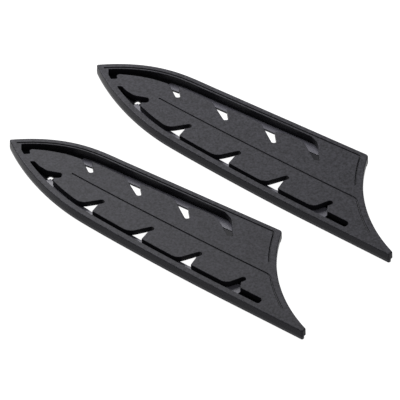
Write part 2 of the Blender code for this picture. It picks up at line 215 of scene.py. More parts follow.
def rounded(corners: Sequence[Corner], degrees: float = 7.0) -> Line:
    """A closed outline whose corners are rounded by arcs.

    Args:
        corners: Each corner's x, y and radius.
        degrees: The largest turn between two points of an arc.

    Returns:
        The outline's points, running anticlockwise.
    """
    points: Line = []
    count = len(corners)
    straight = math.radians(179.0)
    most = 0.49
    for index, (x, y, radius) in enumerate(corners):
        here = Vector((x, y))
        before = Vector(corners[index - 1][:2]) - here
        after = Vector(corners[(index + 1) % count][:2]) - here
        turn = before.angle(after)
        if radius <= 0.0 or turn > straight:
            points.append(here)
            continue
        reach = min(radius / math.tan(turn / 2), most * before.length, most * after.length)
        radius = reach * math.tan(turn / 2)
        middle = (before.normalized() + after.normalized()).normalized()
        centre = here + middle * radius / math.sin(turn / 2)
        first = here + before.normalized() * reach - centre
        last = here + after.normalized() * reach - centre
        start = math.atan2(first.y, first.x)
        sweep = math.remainder(math.atan2(last.y, last.x) - start, 2 * math.pi)
        steps = max(2, math.ceil(math.degrees(abs(sweep)) / degrees))
        points.extend(arc(centre, radius, start, start + sweep, steps))
    area = sum(a.x * b.y - b.x * a.y for a, b in zip(points, points[1:] + points[:1]))
    return points if area > 0 else points[::-1]


@dataclass
class GuardPlan:
    """The outlines of one guard, seen from above, tip at the left and spine up.

    A pull or a push sets a curve's control point, as a share of the curve's run.
    """

    tip: Vector = place(-2.3, 1.5)
    tip_round: float = 0.8
    length: float = 214.3
    spine_angle: float = 45.0
    spine_belly: Vector = place(56.0, 24.72)
    spine_slope: float = 0.0623
    spine_pull: float = 0.564
    spine_push: float = 0.261
    heel_run: float = 57.2
    heel_radius: float = 101.0
    heel_round: float = 2.6
    edge_angle: float = -34.9
    edge_belly: Vector = place(62.0, -22.65)
    edge_slope: float = -0.1046
    edge_pull: float = 0.285
    edge_push: float = 0.408
    edge_level: float = 155.0
    sole_pull: float = 0.127
    sole_push: float = 0.366
    tail_drop: float = 26.22
    tail_height: float = 3.2
    tail_round: float = 0.9

    spine_rim: float = 4.5
    edge_rim: float = 3.5
    edge_slot: float = 2.2
    slot_bow: float = 0.25
    leaf_inset: float = 10.1
    leaf_drop: float = 0.4
    leaf_end: float = 14.6
    ledge_inset: float = 8.4
    land_inset: float = 8.4
    land_start: float = 30.0
    land_end: Vector = place(0.5, 6.5)
    land_toe: float = 15.0
    step_start: float = 34.0
    step_to_heel: float = 14.0
    blade_tip: Vector = place(5.0, 7.5)
    blade_relief: float = 0.2
    blade_overrun: float = 12.0
    rim_overlap: float = 0.1

    channel_start: float = 5.2
    channel_to_heel: float = 17.6
    hook_run: float = 16.0
    notch_count: int = 3
    notch_pitch: float = 31.0
    notch_rise: float = 0.85
    first_notch: Vector = place(47.6, 7.2)

    slot_start: float = 18.6
    first_finger: float = 37.5
    finger_count: int = 4
    finger_pitch: float = 33.9
    pitch_loss: float = 1.25
    first_corner: float = 67.6
    corner_round: float = 0.45
    slot_angle: float = 52.0
    slot_angle_gain: float = 16.0
    slot_throat: float = 2.2
    throat_round: float = 0.3
    slot_end_width: float = 3.0
    slot_end_depth: float = 14.7
    slot_depth_gain: float = 1.65
    last_slot_end_depth: float = 14.2
    slot_lead: float = 0.8
    slot_lead_gain: float = 2.3
    finger_curve: float = 6.7
    knee_step: float = 0.05
    last_slot: Vector = place(15.0, 4.3)

    notch_window: Vector = place(17.6, 1.2)
    notch_window_depth: Vector = place(7.5, 9.0)
    slot_window: Vector = place(20.5, 1.0)
    slot_window_depth: Vector = place(9.5, 11.5)
    window_into_land: float = 0.35
    window_round: float = 2.0

    rim_line_inset: float = 3.3
    rim_line_start: float = 2.6
    rim_line_end: Vector = place(9.4, 6.7)
    centre_line_bend: Vector = place(15.3, -1.0)
    centre_line_end: Vector = place(37.6, -18.5)
    heel_band: float = 4.0
    heel_setback: float = 1.5

    def __post_init__(self) -> None:
        """Works out the lines that the other outlines follow."""
        self.tail = self.tip.x + self.length
        x = self.tail - self.heel_run
        self.heel_top = Vector((x, self.spine_height(x)))
        self.tail_top = Vector((self.tail, self.tail_height - self.tail_drop))
        self.spine = self._spine_line()
        self.edge = self._edge_line()
        chord = self.tail_top - self.heel_top
        rise = math.sqrt(self.heel_radius**2 - chord.length_squared / 4)
        across = Vector((-chord.y, chord.x)).normalized()
        self.heel_centre = (self.tail_top + self.heel_top) / 2 + rise * across
        step = Vector((self.notch_pitch, self.notch_rise))
        self.notches = [self.first_notch + k * step for k in range(self.notch_count)]
        self.corners = [
            self.first_corner + k * self.finger_pitch - k * (k - 1) / 2 * self.pitch_loss
            for k in range(self.finger_count)
        ]

    def spine_height(self, x: float) -> float:
        """The height of the spine's straight stretch at x."""
        return self.spine_belly.y + self.spine_slope * (x - self.spine_belly.x)

    def leaf_height(self, x: float) -> float:
        """The height of the leaves' shared edge at x."""
        return self.spine_height(x) - self.leaf_inset

    def _spine_line(self) -> Line:
        """The spine.

        Returns:
            Its points, from the tip to the top of the heel.
        """
        angle = math.radians(self.spine_angle)
        run = self.spine_belly.x - self.tip.x
        pull = self.tip + self.spine_pull * run * Vector((math.cos(angle), math.sin(angle)))
        push = self.spine_belly - self.spine_push * run * Vector((1.0, self.spine_slope))
        return [*cubic(self.tip, pull, push, self.spine_belly, 48), self.heel_top]

    def _edge_line(self) -> Line:
        """The cutting edge side.

        Returns:
            Its points, from the tip to the tail.
        """
        angle = math.radians(self.edge_angle)
        slope = Vector((1.0, self.edge_slope))
        run = self.edge_belly.x - self.tip.x
        pull = self.tip + self.edge_pull * run * Vector((math.cos(angle), math.sin(angle)))
        push = self.edge_belly - self.edge_push * run * slope
        belly = cubic(self.tip, pull, push, self.edge_belly, 40)
        level = Vector((self.edge_level, -self.tail_drop))
        run = level.x - self.edge_belly.x
        pull = self.edge_belly + self.sole_pull * run * slope
        push = level - self.sole_push * run * Vector((1.0, 0.0))
        sole = cubic(self.edge_belly, pull, push, level, 24)
        return [*belly, *sole[1:], Vector((self.tail, -self.tail_drop))]

    def heel_arc(self, inset: float, start: Vector, end: Vector, steps: int) -> Line:
        """The heel's arc moved into the guard.

        Args:
            inset: How far it is moved.
            start: A point in the direction of the arc's first point.
            end: A point in the direction of its last point.
            steps: Number of equal steps.

        Returns:
            The points, both ends included.
        """
        angles = []
        for point in (start, end):
            ray = point - self.heel_centre
            angles.append(math.atan2(ray.y, ray.x) % (2 * math.pi))
        return arc(self.heel_centre, self.heel_radius + inset, *angles, steps)

    def outline(self) -> Line:
        """The outer outline.

        Returns:
            Its points, closed and anticlockwise, as for every outline below.
        """
        heel = self.heel_arc(0.0, self.heel_top, self.tail_top, 40)[2:-1]
        corners = [(self.tip.x, self.tip.y, self.tip_round), *sharp(self.spine[2:-1])]
        corners += [(self.heel_top.x, self.heel_top.y, self.heel_round), *sharp(heel)]
        corners.append((self.tail_top.x, self.tail_top.y, self.tail_round))
        corners.append((self.tail, -self.tail_drop, self.tail_round))
        return rounded([*corners, *sharp(reversed(self.edge[2:-1]))])

    def channel(self) -> Line:
        """The opening beside the spine's rim, with its notches and its hook.

        Returns:
            Its outline.
        """
        end = self.heel_top.x - self.channel_to_heel
        rim = shifted(self.spine, self.spine_rim)
        outer = sharp(between(rim, self.channel_start, end - 15.0))
        hook_start = end - self.hook_run
        hook = placed(HOOK, end, self.leaf_height(end))
        hook.append((hook_start, self.leaf_height(hook_start), 12.0))
        leaves = [corner for notch in reversed(self.notches) for corner in self._leaf_start(notch)]
        return rounded([*outer, *hook, *leaves, *TIP_LEAF, *TIP_NOTCH])

    def _leaf_start(self, notch: Vector) -> list[Corner]:
        """One notch and the leaf that starts on its heel side.

        Args:
            notch: The middle of the notch's lower end.

        Returns:
            The corners, from the leaf back towards the tip.
        """
        shoulder = notch.x + 0.4
        x = notch.x - self.leaf_end
        last = (x, self.leaf_height(x) - self.leaf_drop, 10.0)
        if notch is self.notches[0]:
            last = FIRST_LEAF_END
        return [(shoulder, self.leaf_height(shoulder), 5.0), *placed(NOTCH, notch.x, notch.y), last]

    def slots(self) -> Line:
        """The opening between the cutting edge's rail and the fingers.

        Returns:
            Its outline.
        """
        last = self.corners[-1]
        slot_end = last + self.last_slot.x
        half = self.last_slot.y / 2
        rail = shifted(self.edge, -self.edge_rim)
        lower = sharp(between(rail, self.slot_start, slot_end - half))
        low = height_at(rail, slot_end)
        high = low + self.last_slot.y
        end = [(slot_end, low, half), (slot_end, high, half), (last, high, self.corner_round)]
        fingers = reversed(range(self.finger_count))
        upper = [corner for index in fingers for corner in self._finger(index)]
        first = [*FIRST_SLOT_HEEL, *FIRST_SLOT_MIDDLE, *FIRST_SLOT_TIP]
        return rounded([*lower, *end, *upper, *first])

    def _finger(self, index: int) -> list[Corner]:
        """One slot end and the finger before it.

        Args:
            index: Which finger, the one at the tip being 0.

        Returns:
            The corners, from the next finger's corner backwards.
        """
        final = self.finger_count - 1
        corner = self.corners[index]
        share = index / final
        bow = self.slot_bow * (index - final / 2) ** 2
        fingers = shifted(self.edge, -(self.edge_rim + self.edge_slot + bow))
        angle = math.radians(self.slot_angle + self.slot_angle_gain * share)
        along = Vector((math.cos(angle), math.sin(angle)))
        side = Vector((-along.y, along.x))
        depth = self.slot_end_depth + self.slot_depth_gain * share
        if index == final:
            depth = self.last_slot_end_depth
        lead = self.slot_lead + self.slot_lead_gain * share**2
        end = Vector((corner - lead, height_at(self.edge, corner) + depth))
        half = self.slot_end_width / 2
        inner = end - self.slot_throat * along - half * side
        right = end + half * (along - side)
        left = end + half * (along + side)
        knee = self._knee(left, along, fingers)
        start = self.corners[index - 1] if index else self.first_finger
        line = between(fingers, start, left.x)
        kept = [p for p in line if start + 2.0 < p.x < knee.x - self.finger_curve]
        corners = [(inner.x, inner.y, self.throat_round)]
        corners += [(right.x, right.y, half), (left.x, left.y, half)]
        corners += [(knee.x, knee.y, self.finger_curve), *sharp(reversed(kept))]
        if index:
            corners.append((start, height_at(fingers, start), self.corner_round))
        return corners

    def _knee(self, left: Vector, along: Vector, fingers: Line) -> Vector:
        """The place where a slot's side, run straight on, meets the finger's edge.

        Args:
            left: Where the slot's side starts, at its inner end.
            along: The slot's direction, from its mouth inwards.
            fingers: The line of the fingers' long edges.

        Returns:
            The place.
        """
        knee = left.copy()
        while knee.y > height_at(fingers, knee.x):
            knee -= self.knee_step * along
        return knee

    def blade_space(self) -> Line:
        """The room for the blade, running out past the open heel.

        Returns:
            Its outline.
        """
        spine_side = shifted(self.spine, self.spine_rim - self.blade_relief)
        edge_side = shifted(self.edge, self.blade_relief - self.edge_rim)
        upper = between(spine_side, self.blade_tip.x, self.heel_top.x - 1.0)
        lower = between(edge_side, self.blade_tip.y, self.tail - 2.5)
        beyond = self.tail + self.blade_overrun
        past = [Vector((beyond, upper[-1].y)), Vector((beyond, lower[-1].y))]
        return rounded(sharp([*upper, *past, *reversed(lower)]))

    def land(self) -> Line:
        """The raised land behind the cutting edge.

        Returns:
            Its outline.
        """
        last = self.corners[-1]
        rail = shifted(self.edge, -(self.edge_rim + self.rim_overlap))
        outer = between(rail, self.land_start, last - self.land_end.x)
        behind = shifted(self.edge, -self.land_inset)
        inner = between(behind, self.land_start + 2.0, last - self.land_toe)
        top = height_at(self.edge, last) + self.last_slot_end_depth - 1.0
        heel_end = [(last - self.land_end.x, top, 1.0), (last - self.land_end.y, top, 3.0)]
        return rounded([*sharp(outer), *heel_end, *sharp(reversed(inner))])

    def step(self) -> Line:
        """The low step along the spine side, which the windows cut short.

        Returns:
            Its outline.
        """
        rim = shifted(self.spine, self.spine_rim - self.rim_overlap)
        ledge = shifted(self.spine, self.ledge_inset + 2.0)
        end = self.heel_top.x - self.step_to_heel
        outer = between(rim, self.step_start, end)
        inner = between(ledge, self.step_start + 1.0, end - 5.0)
        toe = Vector((end - 3.0, inner[-1].y - 9.0))
        return rounded(sharp([*inner, toe, *reversed(outer)]))

    def windows(self) -> list[Line]:
        """The openings in the back shell's floor.

        Returns:
            Their outlines: behind the notches, behind the slots, and the small first one.
        """
        loops = []
        turn = self.window_round
        ledge = shifted(self.spine, self.ledge_inset)
        for notch in self.notches:
            low, high = notch.x - self.notch_window.x, notch.x + self.notch_window.y
            low_y, high_y = height_at(ledge, low), height_at(ledge, high)
            corners = [(low, low_y, turn), (high, high_y, turn)]
            depth = self.notch_window_depth
            corners += [(high, high_y - depth.y, turn), (low, low_y - depth.x, turn)]
            loops.append(rounded(corners))
        inner = shifted(self.edge, self.window_into_land - self.land_inset)
        for corner in self.corners[:-1]:
            low, high = corner - self.slot_window.x, corner - self.slot_window.y
            low_y, high_y = height_at(inner, low), height_at(inner, high)
            depth = self.slot_window_depth
            corners = [(low, low_y, turn), (low, low_y + depth.x, turn)]
            corners += [(high, high_y + depth.y, turn), (high, high_y, turn)]
            loops.append(rounded(corners))
        loops.append(rounded(FIRST_WINDOW))
        return loops

    def heel_relief(self) -> Line:
        """A sector that sets the back shell's heel inside the front shell's."""
        ends = [self.heel_top + Vector((-8.0, 6.0)), self.tail_top + Vector((9.0, -6.0))]
        return [self.heel_centre, *self.heel_arc(self.heel_setback, *ends, 60)]

    def rim_line(self) -> Line:
        """The engraved line along the spine and down the top of the heel.

        Returns:
            Its points, from the tip on.
        """
        line = shifted(self.spine, self.rim_line_inset)[:-1]
        x = self.heel_top.x - 3.0
        corner = Vector((x, self.spine_height(x) - self.rim_line_inset))
        end = Vector((self.heel_top.x + self.rim_line_end.x, self.rim_line_end.y))
        down = self.heel_arc(self.heel_band, corner + Vector((0.5, -3.0)), end, 16)
        turn = cubic(corner - Vector((2.2, 0.1)), corner, corner, down[0], 8)
        return [*between(line, self.rim_line_start, self.spine_belly.x), *turn, *down[1:]]

    def centre_line(self) -> Line:
        """The engraved line along the middle and down the lower part of the heel.

        Returns:
            Its points, from the tip on.
        """
        heel = Vector((self.heel_top.x, 0.0))
        bend = heel + self.centre_line_bend
        end = heel + self.centre_line_end
        down = self.heel_arc(self.heel_band, bend + Vector((1.6, -1.6)), end, 20)
        before = bend - Vector((2.5, 0.0))
        turn = cubic(before, bend, bend, down[0], 8)
        run = cubic(*CENTRE_LINE, before, 30)
        return [*run, *turn[1:], *down[1:]]


# Node trees


class NodeSheet:
    """Adds nodes to one tree and links them."""

    def __init__(self, tree: bpy.types.NodeTree) -> None:
        """Keeps the tree that the nodes go into."""
        self.tree = tree

    def add(self, kind: str, inputs: dict | None = None, **settings: object) -> bpy.types.Node:
        """Adds one node.

        Args:
            kind: The node's type.
            inputs: A value or another node's output for each input, by name or number.
            settings: The node's own properties.

        Returns:
            The new node.
        """
        node = self.tree.nodes.new(kind)
        for name, value in settings.items():
            setattr(node, name, value)
        for key, value in (inputs or {}).items():
            if isinstance(value, Socket):
                self.tree.links.new(value, node.inputs[key])
            else:
                node.inputs[key].default_value = value
        return node

    def maths(self, operation: str, *values: object) -> Socket:
        """Adds a Math node.

        Args:
            operation: What it does.
            values: Its inputs, as numbers or outputs.

        Returns:
            Its output.
        """
        node = self.add("ShaderNodeMath", dict(enumerate(values)), operation=operation)
        return node.outputs[0]

    def above(self, value: Socket, limit: float) -> Socket:
        """Adds a Compare node that is true past the limit and returns its output."""
        inputs = {0: value, 1: limit}
        return self.add("FunctionNodeCompare", inputs, operation="GREATER_THAN").outputs[0]

    def pick(self, switch: Socket, off: object, on: object) -> Socket:
        """Adds a Switch node between two numbers and returns its output."""
        inputs = {"Switch": switch, "False": off, "True": on}
        return self.add("GeometryNodeSwitch", inputs, input_type="FLOAT").outputs[0]


def new_tree(name: str, sizes: Sequence[str]) -> tuple[bpy.types.NodeTree, NodeSheet]:
    """A node tree with a geometry input and output, sizes, and a finish.

    Args:
        name: The tree's name.
        sizes: The names of its size inputs.

    Returns:
        The tree, and the sheet that adds nodes to it.
    """
    tree = bpy.data.node_groups.new(name, "GeometryNodeTree")
    tree.interface.new_socket("Outline", in_out="INPUT", socket_type="NodeSocketGeometry")
    for size in sizes:
        tree.interface.new_socket(size, in_out="INPUT", socket_type="NodeSocketFloat")
    tree.interface.new_socket("Finish", in_out="INPUT", socket_type="NodeSocketMaterial")
    tree.interface.new_socket("Solid", in_out="OUTPUT", socket_type="NodeSocketGeometry")
    return tree, NodeSheet(tree)


def set_inputs(node: bpy.types.Node, values: dict[str, object]) -> None:
    """Sets a node's own inputs, by name."""
    for name, value in values.items():
        node.inputs[name].default_value = value


def close_tree(sheet: NodeSheet, solid: Socket, finish: Socket) -> None:
    """Ends a tree in real geometry that has its finish.

    Args:
        sheet: The tree's sheet.
        solid: The geometry to end with.
        finish: The output that gives the finish.
    """
    real = sheet.add("GeometryNodeRealizeInstances", {"Geometry": solid})
    dressed = sheet.add("GeometryNodeSetMaterial", {"Geometry": real.outputs[0], "Material": finish})
    sheet.add("NodeGroupOutput", {0: dressed.outputs[0]})


def block_tree() -> bpy.types.NodeTree:
    """The tree that sweeps a wall section around closed outlines and caps it.

    Returns:
        The tree.
    """
    names = ["Low", "High", "Low edge", "High edge", "Low inset", "High inset", "Rise", "Sweep"]
    tree, sheet = new_tree("moulded_block", names)
    given = sheet.add("NodeGroupInput").outputs
    maths = sheet.maths
    index = sheet.add("GeometryNodeInputIndex").outputs[0]
    upper = sheet.above(index, EDGE_STEPS + 0.5)
    step = maths("SUBTRACT", index, sheet.pick(upper, 0.0, EDGE_STEPS + 1.0))
    share = maths("MINIMUM", maths("DIVIDE", step, float(EDGE_STEPS)), 1.0)
    sweep = sheet.pick(upper, math.pi / 2, given["Sweep"])
    angle = maths("MULTIPLY", share, sweep)
    sine, cosine = maths("SINE", angle), maths("COSINE", angle)
    edge = sheet.pick(upper, given["Low edge"], given["High edge"])
    inward = maths("SUBTRACT", 1.0, sheet.pick(upper, sine, cosine))
    offset = maths("MULTIPLY", edge, inward)
    along = maths("SUBTRACT", 1.0, sheet.pick(upper, cosine, sine))
    climb = maths("MULTIPLY", maths("ABSOLUTE", edge), along)
    low_z = maths("ADD", given["Low"], climb)
    high_z = maths("SUBTRACT", given["High"], climb)
    last = sheet.above(index, 2 * EDGE_STEPS + 1.5)
    height = maths("ADD", sheet.pick(upper, low_z, high_z), sheet.pick(last, 0.0, given["Rise"]))
    span = maths("SUBTRACT", given["High"], given["Low"])
    level = maths("DIVIDE", maths("SUBTRACT", height, given["Low"]), span)
    lean = maths("SUBTRACT", given["High inset"], given["Low inset"])
    inset = maths("ADD", given["Low inset"], maths("MULTIPLY", lean, level))
    outward = maths("SUBTRACT", maths("MULTIPLY", offset, -1.0), inset)
    down = maths("MULTIPLY", height, -1.0)
    spot = sheet.add("ShaderNodeCombineXYZ", {"X": outward, "Y": down}).outputs[0]
    line = sheet.add("GeometryNodeCurvePrimitiveLine").outputs[0]
    dotted = sheet.add("GeometryNodeResampleCurve", {"Curve": line, "Count": 2 * EDGE_STEPS + 3})
    section = sheet.add("GeometryNodeSetPosition", {"Geometry": dotted.outputs[0], "Position": spot})

    loops = sheet.add("GeometryNodeMeshToCurve", {"Mesh": given["Outline"]})
    upright = sheet.add("GeometryNodeSetCurveNormal", {"Curve": loops.outputs[0]}, mode="Z_UP")
    path = {"Curve": upright.outputs[0], "Profile Curve": section.outputs[0]}
    swept = sheet.add("GeometryNodeCurveToMesh", path)
    wall = sheet.add("GeometryNodeFlipFaces", {"Mesh": swept.outputs[0]}).outputs[0]
    position = sheet.add("GeometryNodeInputPosition").outputs[0]
    z = sheet.add("ShaderNodeSeparateXYZ", {0: position}).outputs["Z"]
    middle = maths("MULTIPLY", maths("ADD", given["Low"], given["High"]), 0.5)
    neighbours = sheet.add("GeometryNodeInputMeshEdgeNeighbors").outputs[0]
    open_edge = maths("LESS_THAN", neighbours, 1.5)
    unswept = maths("SUBTRACT", 1.0, maths("SINE", given["Sweep"]))
    sunk = maths("MULTIPLY", maths("ABSOLUTE", given["High edge"]), unswept)
    top = maths("SUBTRACT", maths("ADD", given["High"], given["Rise"]), sunk)
    parts = [wall]
    for is_top, cap in ((False, given["Low"]), (True, top)):
        beyond = maths("GREATER_THAN" if is_top else "LESS_THAN", z, middle)
        chosen = maths("MULTIPLY", beyond, open_edge)
        rim = sheet.add("GeometryNodeMeshToCurve", {"Mesh": wall, "Selection": chosen}).outputs[0]
        fill = sheet.add("GeometryNodeFillCurve", {"Curve": rim}).outputs[0]
        lift = sheet.add("ShaderNodeCombineXYZ", {"Z": cap}).outputs[0]
        lifted = sheet.add("GeometryNodeSetPosition", {"Geometry": fill, "Offset": lift}).outputs[0]
        if not is_top:
            lifted = sheet.add("GeometryNodeFlipFaces", {"Mesh": lifted}).outputs[0]
        parts.append(lifted)
    joined = sheet.add("GeometryNodeJoinGeometry")
    for part in parts:
        tree.links.new(part, joined.inputs[0])
    near = {"Geometry": joined.outputs[0], "Distance": MERGE_DISTANCE}
    whole = sheet.add("GeometryNodeMergeByDistance", near)
    close_tree(sheet, whole.outputs[0], given["Finish"])
    return tree


def bead_tree() -> bpy.types.NodeTree:
    """The tree that sweeps an oval bead along paths.

    Returns:
        The tree.
    """
    tree, sheet = new_tree("swept_bead", ["Width", "Height"])
    given = sheet.add("NodeGroupInput").outputs
    path = sheet.add("GeometryNodeMeshToCurve", {"Mesh": given["Outline"]})
    upright = sheet.add("GeometryNodeSetCurveNormal", {"Curve": path.outputs[0]}, mode="Z_UP")
    circle = sheet.add("GeometryNodeCurvePrimitiveCircle", {"Resolution": 12, "Radius": 0.5})
    scale = sheet.add("ShaderNodeCombineXYZ", {"X": given["Width"], "Y": given["Height"], "Z": 1.0})
    oval = sheet.add("GeometryNodeTransform", {"Geometry": circle.outputs[0], "Scale": scale.outputs[0]})
    swept = {"Curve": upright.outputs[0], "Profile Curve": oval.outputs[0], "Fill Caps": True}
    bead = sheet.add("GeometryNodeCurveToMesh", swept)
    close_tree(sheet, bead.outputs[0], given["Finish"])
    return tree


# Mesh making


def linked(name: str, data: bpy.types.ID) -> Thing:
    """Makes an object and puts it in the scene.

    Args:
        name: Its name.
        data: Its mesh, light or camera.

    Returns:
        The object.
    """
    made = bpy.data.objects.new(name, data)
    bpy.context.scene.collection.objects.link(made)
    return made


@dataclass(frozen=True)
class Section:
    """A wall section: heights, edge rounds and how far it stands inside its outline.

    A negative round flares a tool, so that the opening it cuts has a rounded edge.
    The sweep is how far the upper round turns, and the rise lifts the cap above it.
    """

    low: float
    high: float
    low_edge: float = 0.0
    high_edge: float = 0.0
    low_inset: float = 0.0
    high_inset: float = 0.0
    rise: float = 0.0
    sweep: float = math.pi / 2

    def sizes(self) -> dict[str, float]:
        """The tree's size inputs, in metres and radians."""
        inputs = {name.replace("_", " ").capitalize(): size * MM for name, size in vars(self).items()}
        return {**inputs, "Sweep": self.sweep}


class Moulder:
    """Turns outlines and paths into solids, and joins and cuts them."""

    def __init__(self) -> None:
        """Builds the two trees that it works with."""
        self.block = block_tree()
        self.bead = bead_tree()

    def solid(self, name: str, loops: Sequence[Line], section: Section) -> Thing:
        """A solid inside closed outlines.

        Args:
            name: The object's name.
            loops: The outlines.
            section: Its wall section.

        Returns:
            An object with a plain mesh.
        """
        source = self._lines(name, loops, True, 0.0)
        return self._evaluated(source, self.block, section.sizes())

    def rod(self, name: str, path: Line, height: float, size: Vector) -> Thing:
        """An oval bead along a path.

        Args:
            name: The object's name.
            path: The path's points.
            height: The height of its middle.
            size: The bead's width and height.

        Returns:
            An object with a plain mesh.
        """
        source = self._lines(name, [path], False, height)
        return self._evaluated(source, self.bead, {"Width": size.x * MM, "Height": size.y * MM})

    def shaped(self, body: Thing, tools: Sequence[tuple[Thing, Cut]]) -> Thing:
        """Cuts and joins solids.

        Args:
            body: The solid to start from.
            tools: Each tool and what it does, in order.

        Returns:
            The body with the result as its mesh.
        """
        for tool, cut in tools:
            modifier = body.modifiers.new(tool.name, "BOOLEAN")
            modifier.operation = cut.value
            modifier.solver = "EXACT"
            modifier.object = tool
        mesh = self._plain(body)
        for tool, _ in tools:
            bpy.data.objects.remove(tool, do_unlink=True)
        body.modifiers.clear()
        body.data = mesh
        return body

    def _lines(self, name: str, loops: Sequence[Line], closed: bool, height: float) -> Thing:
        """An object whose mesh is only the edges of some lines.

        Args:
            name: The object's name.
            loops: The lines.
            closed: Whether each comes back to its start.
            height: The height of all of them.

        Returns:
            The object.
        """
        verts: list[tuple[float, float, float]] = []
        edges: list[tuple[int, int]] = []
        for loop in loops:
            first = len(verts)
            verts.extend((point.x * MM, point.y * MM, height * MM) for point in loop)
            edges.extend((k, k + 1) for k in range(first, len(verts) - 1))
            if closed:
                edges.append((len(verts) - 1, first))
        mesh = bpy.data.meshes.new(name)
        mesh.from_pydata(verts, edges, [])
        return linked(name, mesh)

    def _evaluated(self, source: Thing, tree: bpy.types.NodeTree, sizes: dict[str, float]) -> Thing:
        """Runs a tree on an object and keeps the result as its plain mesh.

        Args:
            source: The object, whose mesh is the tree's outline.
            tree: The tree.
            sizes: Its size inputs, by name.

        Returns:
            The same object.
        """
        modifier = source.modifiers.new(tree.name, "NODES")
        modifier.node_group = tree
        for item in tree.interface.items_tree:
            if item.item_type == "SOCKET" and item.in_out == "INPUT" and item.name in sizes:
                modifier[item.identifier] = float(sizes[item.name])
        mesh = self._plain(source)
        source.modifiers.clear()
        source.data = mesh
        return source

    @staticmethod
    def _plain(thing: Thing) -> bpy.types.Mesh:
        """The plain mesh that an object's modifiers make.

        Args:
            thing: The object.

        Returns:
            The mesh, named after it.
        """
        graph = bpy.context.evaluated_depsgraph_get()
        mesh = bpy.data.meshes.new_from_object(thing.evaluated_get(graph))
        mesh.name = thing.name
        return mesh


# Finishes


@dataclass(frozen=True)
class PlasticFinishAndPaintedLight:
    """Black polypropylene as one face of the mould leaves it, its grey sometimes also carrying painted shade
    or a painted sheen.

    Grain is the texture that spark erosion gives the mould; mottle is how much
    the grey varies with it.
    """

    name: str
    grey: float
    roughness: float
    specular: float
    grain: float
    grain_size: float
    mottle: float
    tint: tuple[float, float, float] = (0.98, 0.96, 1.16)
    patch_size: float = 11.0
    patch_share: float = 0.07
    contrast: tuple[float, float] = (0.32, 0.68)

    def material(self) -> bpy.types.Material:
        """Builds the material.

        Returns:
            The material.
        """
        made = bpy.data.materials.new(self.name)
        made.use_nodes = True
        sheet = NodeSheet(made.node_tree)
        shader = made.node_tree.nodes["Principled BSDF"]
        set_inputs(shader, {"Specular IOR Level": self.specular, "Metallic": 0.0})
        where = sheet.add("ShaderNodeTexCoord").outputs["Object"]
        fine = self._noise(sheet, where, self.grain_size, 3.0)
        broad = self._noise(sheet, where, self.patch_size, 2.0)
        fine_part = sheet.maths("MULTIPLY", fine, 1.0 - self.patch_share)
        both = sheet.maths("ADD", fine_part, sheet.maths("MULTIPLY", broad, self.patch_share))
        ramp = sheet.add("ShaderNodeValToRGB", {"Fac": both})
        shades = (1.0 - self.mottle, 1.0 + self.mottle)
        for element, position, shade in zip(ramp.color_ramp.elements, self.contrast, shades):
            element.position = position
            element.color = (*(self.grey * channel * shade for channel in self.tint), 1.0)
        made.node_tree.links.new(ramp.outputs["Color"], shader.inputs["Base Color"])
        spread = {"Value": fine, "To Min": self.roughness * 0.9, "To Max": self.roughness * 1.1}
        rough = sheet.add("ShaderNodeMapRange", spread)
        made.node_tree.links.new(rough.outputs[0], shader.inputs["Roughness"])
        bump = sheet.add("ShaderNodeBump", {"Height": fine, "Strength": 1.0, "Distance": self.grain * MM})
        made.node_tree.links.new(bump.outputs[0], shader.inputs["Normal"])
        return made

    @staticmethod
    def _noise(sheet: NodeSheet, where: Socket, size: float, detail: float) -> Socket:
        """A noise whose patches are about so many millimetres across."""
        inputs = {"Vector": where, "Scale": 1.0 / (size * MM), "Detail": detail, "Roughness": 0.6}
        return sheet.add("ShaderNodeTexNoise", inputs).outputs[0]


class FinishesAndPaintedLight:
    """One material for each kind of face that both guards share, some with painted shade or a painted sheen
    in their grey.
    """

    FINISHES: ClassVar[dict[Region, PlasticFinishAndPaintedLight]] = {
        Region.ERODED: PlasticFinishAndPaintedLight("eroded_plastic", 0.041, 0.50, 0.16, 0.05, 1.1, 0.60),
        # Drawn faces: a smoother finish, plus a darker grey that paints the shade on walls, grooves and
        # openings.
        Region.DRAWN: PlasticFinishAndPaintedLight("drawn_plastic_painted_shade", 0.017, 0.35, 0.08, 0.004, 0.5, 0.10),
        # Polished faces: a glossy finish, plus a much lighter grey that paints their sheen and the
        # reflection of the lit room.
        Region.POLISHED: PlasticFinishAndPaintedLight("polished_plastic_painted_sheen", 0.14, 0.35, 0.40, 0.002, 0.6, 0.08),
        # Satin faces: the back shell's walls and floor, in a darker grey that paints their shade.
        Region.SATIN: PlasticFinishAndPaintedLight("satin_plastic_painted_shade", 0.020, 0.35, 0.14, 0.004, 0.5, 0.10),
    }

    def __init__(self) -> None:
        """Builds the materials."""
        self.materials = {region: finish.material() for region, finish in self.FINISHES.items()}


# The guard


